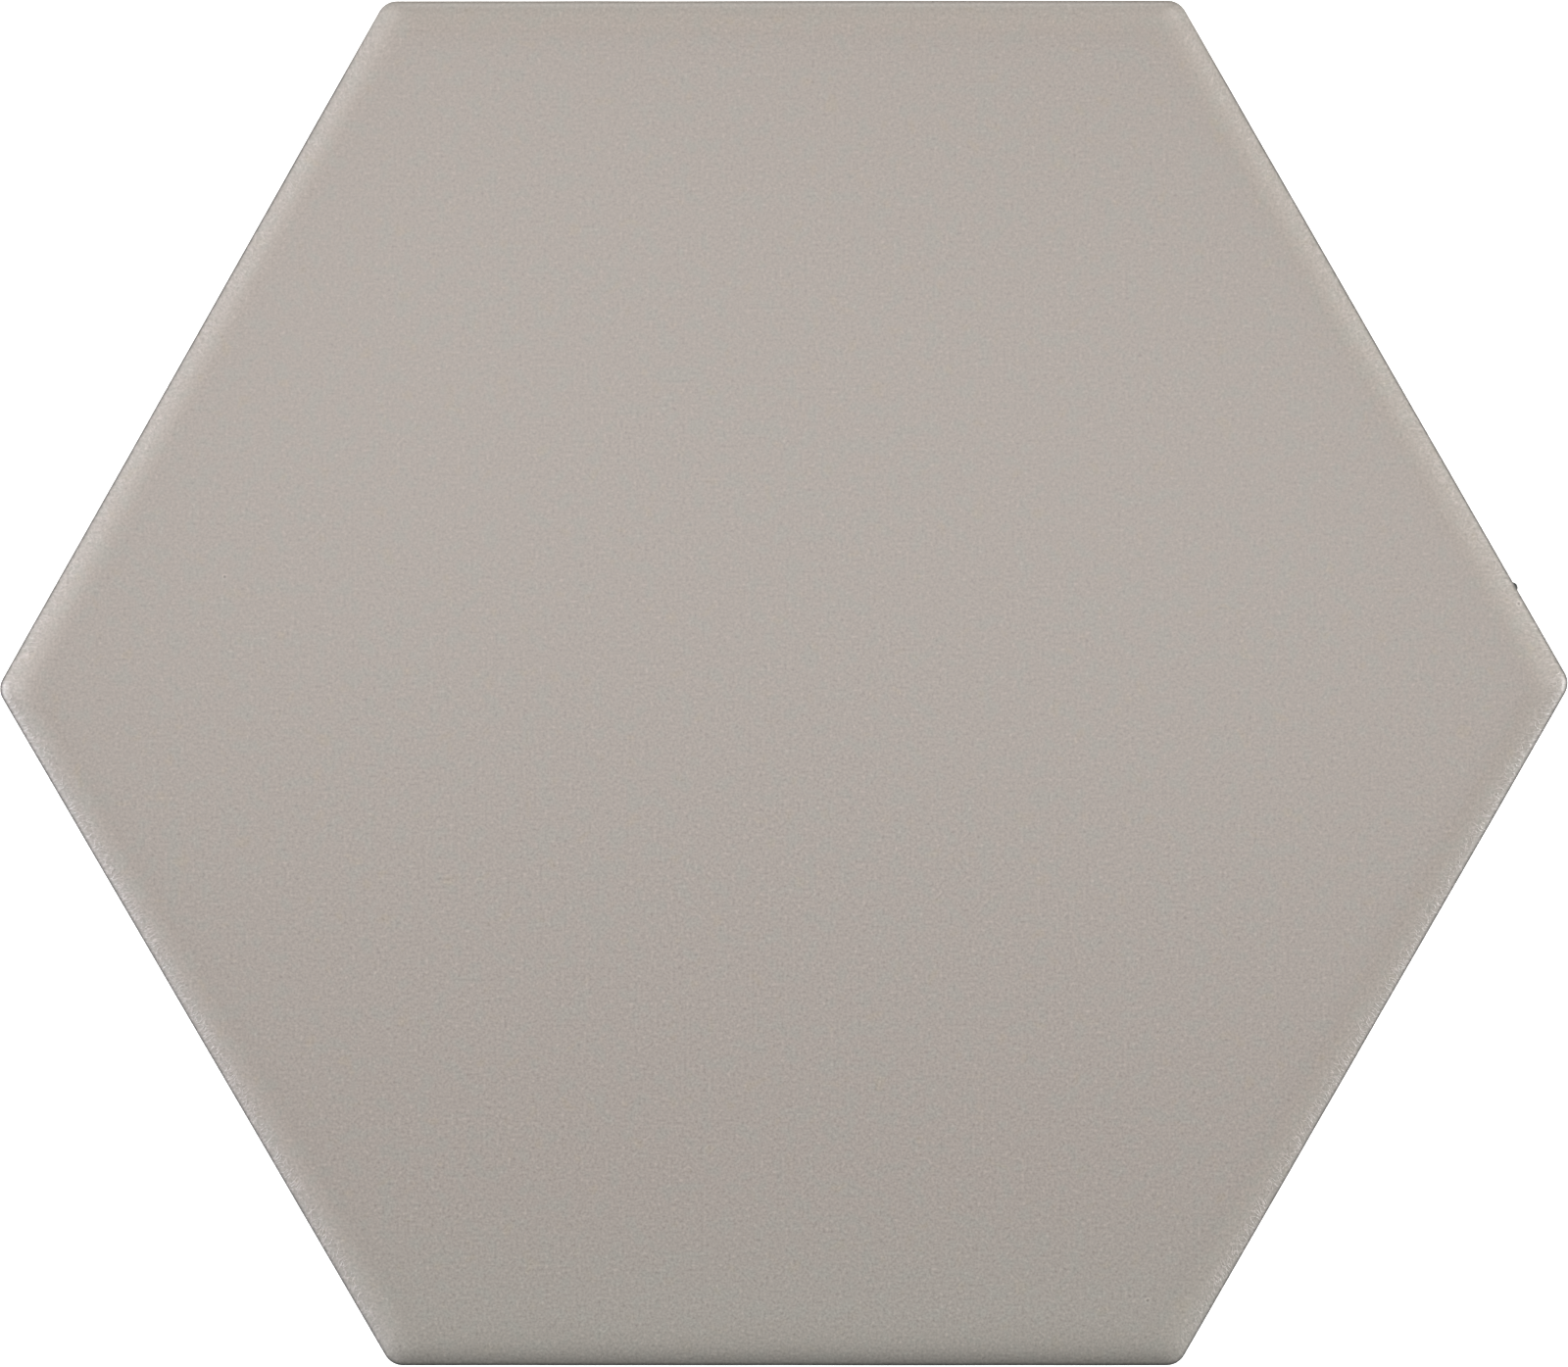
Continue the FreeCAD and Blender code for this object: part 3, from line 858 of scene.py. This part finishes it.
class TILE_OT_studio(bpy.types.Operator):
    """Builds the stage: a plain pale floor, soft lights and the camera over the tile"""
    bl_idname = "tile.studio"
    bl_label = "Studio"

    def execute(self, context):
        scene = context.scene
        look, sizes = scene.tile_studio, scene.tile_sizes
        self.floor(look)
        # Name, azimuth, elevation, width, height, power and colour
        for light in (
            ("back_left", 120, 35, 0.18, 0.18, 0.87, "#FFFAF5"),
            ("back_right", 60, 35, 0.18, 0.18, 0.95, "#FFFAF5"),
            ("low_back", 90, 6, 0.30, 0.10, 0.90, "#FFFDFC"),
            ("low_left", 184, 5, 0.40, 0.10, 4.26, "#F7F9FF"),
            ("low_right", 356, 5, 0.40, 0.10, 4.23, "#FDFFFF"),
            ("mid_left", 172, 25, 0.24, 0.18, 0.76, "#F7F9FF"),
            ("mid_right", 8, 25, 0.24, 0.18, 0.18, "#FDFFFF"),
            ("side_left", 175, 50, 0.18, 0.18, 0.57, "#F9FEFF"),
            ("side_right", 5, 50, 0.18, 0.18, 0.41, "#F9FEFF"),
            ("over_left", 150, 80, 0.18, 0.18, 0.72, "#FFFBFA"),
            ("over_right", 15, 80, 0.18, 0.18, 0.68, "#FFFBFA"),
        ):
            soft_box(*light)
        self.room(scene, look)
        self.camera(scene, look, sizes)
        scene.view_settings.view_transform = "Standard"
        return {"FINISHED"}

    def floor(self, look):
        """Plain pale matt floor under the tile."""
        reach = 3.0
        mesh = bpy.data.meshes.new("floor")
        corners = [(-reach, -reach, 0), (reach, -reach, 0), (reach, reach, 0), (-reach, reach, 0)]
        mesh.from_pydata(corners, [], [(0, 1, 2, 3)])
        floor = bpy.data.objects.new("floor", mesh)
        bpy.context.scene.collection.objects.link(floor)
        material = bpy.data.materials.new("matt_studio_paper")
        material.use_nodes = True
        shader = material.node_tree.nodes["Principled BSDF"]
        shader.inputs["Base Color"].default_value = linear(look.floor)
        shader.inputs["Roughness"].default_value = 0.9
        shader.inputs["Emission Color"].default_value = (1, 1, 1, 1)
        shader.inputs["Emission Strength"].default_value = 1.0
        mesh.materials.append(material)
        # The tile takes no light back from the floor, as when it is cut out from its ground
        floor.visible_diffuse = False
        floor.visible_glossy = False
        floor.visible_shadow = False

    def room(self, scene, look):
        """Even pale light from all round."""
        world = bpy.data.worlds.new("pale_room")
        world.use_nodes = True
        ground = world.node_tree.nodes["Background"]
        ground.inputs["Color"].default_value = linear(look.room)
        ground.inputs["Strength"].default_value = look.room_light
        scene.world = world

    def camera(self, scene, look, sizes):
        """Camera straight above the tile, where its widest outline is as wide as in the photograph.

        The photograph is 1600 pixels wide. The undrifted outline would be 1605.4 of them wide, with its middle
        a little off the frame's.
        """
        photo_width, tile_width = 1600, 1605.4
        aim_x, aim_y = 0.036 * MM, 0.047 * MM
        data = bpy.data.cameras.new("camera")
        data.lens = look.lens
        data.sensor_width = 36.0
        seen = (HIGH.x - LOW.x) * photo_width / tile_width
        outline_height = sizes.thickness - sizes.cushion_drop
        camera = bpy.data.objects.new("camera", data)
        camera.location = (aim_x, aim_y, outline_height + seen * data.lens / data.sensor_width)
        camera.rotation_euler = (0, 0, look.roll)
        data.clip_start, data.clip_end = 0.01, 20
        scene.collection.objects.link(camera)
        scene.camera = camera


class TILE_PT_panel(bpy.types.Panel):
    bl_label = "Hexagon Floor Tile"
    bl_idname = "TILE_PT_panel"
    bl_space_type = "VIEW_3D"
    bl_region_type = "UI"
    bl_category = "Tile"

    def draw(self, context):
        for operator in OPERATORS:
            self.layout.operator(operator.bl_idname)
        for name in GROUPS:
            group = getattr(context.scene, name)
            box = self.layout.box()
            for label in group.__annotations__:
                box.prop(group, label)


GROUPS = {
    "tile_sizes": TileSizes, "tile_keys": KeySizes, "tile_glaze": GlazeLook, "tile_body": BodyLook,
    "tile_studio": StudioLook,
}
OPERATORS = (TILE_OT_fired_tile, TILE_OT_studio)
CLASSES = (*GROUPS.values(), *OPERATORS, TILE_PT_panel)


def register():
    for each in CLASSES:
        bpy.utils.register_class(each)
    for name, group in GROUPS.items():
        setattr(bpy.types.Scene, name, PointerProperty(type=group))


def unregister():
    for name in GROUPS:
        delattr(bpy.types.Scene, name)
    for each in reversed(CLASSES):
        bpy.utils.unregister_class(each)


def main():
    register()
    bpy.ops.tile.fired_tile()
    bpy.ops.tile.studio()


if __name__ == "__main__":
    main()
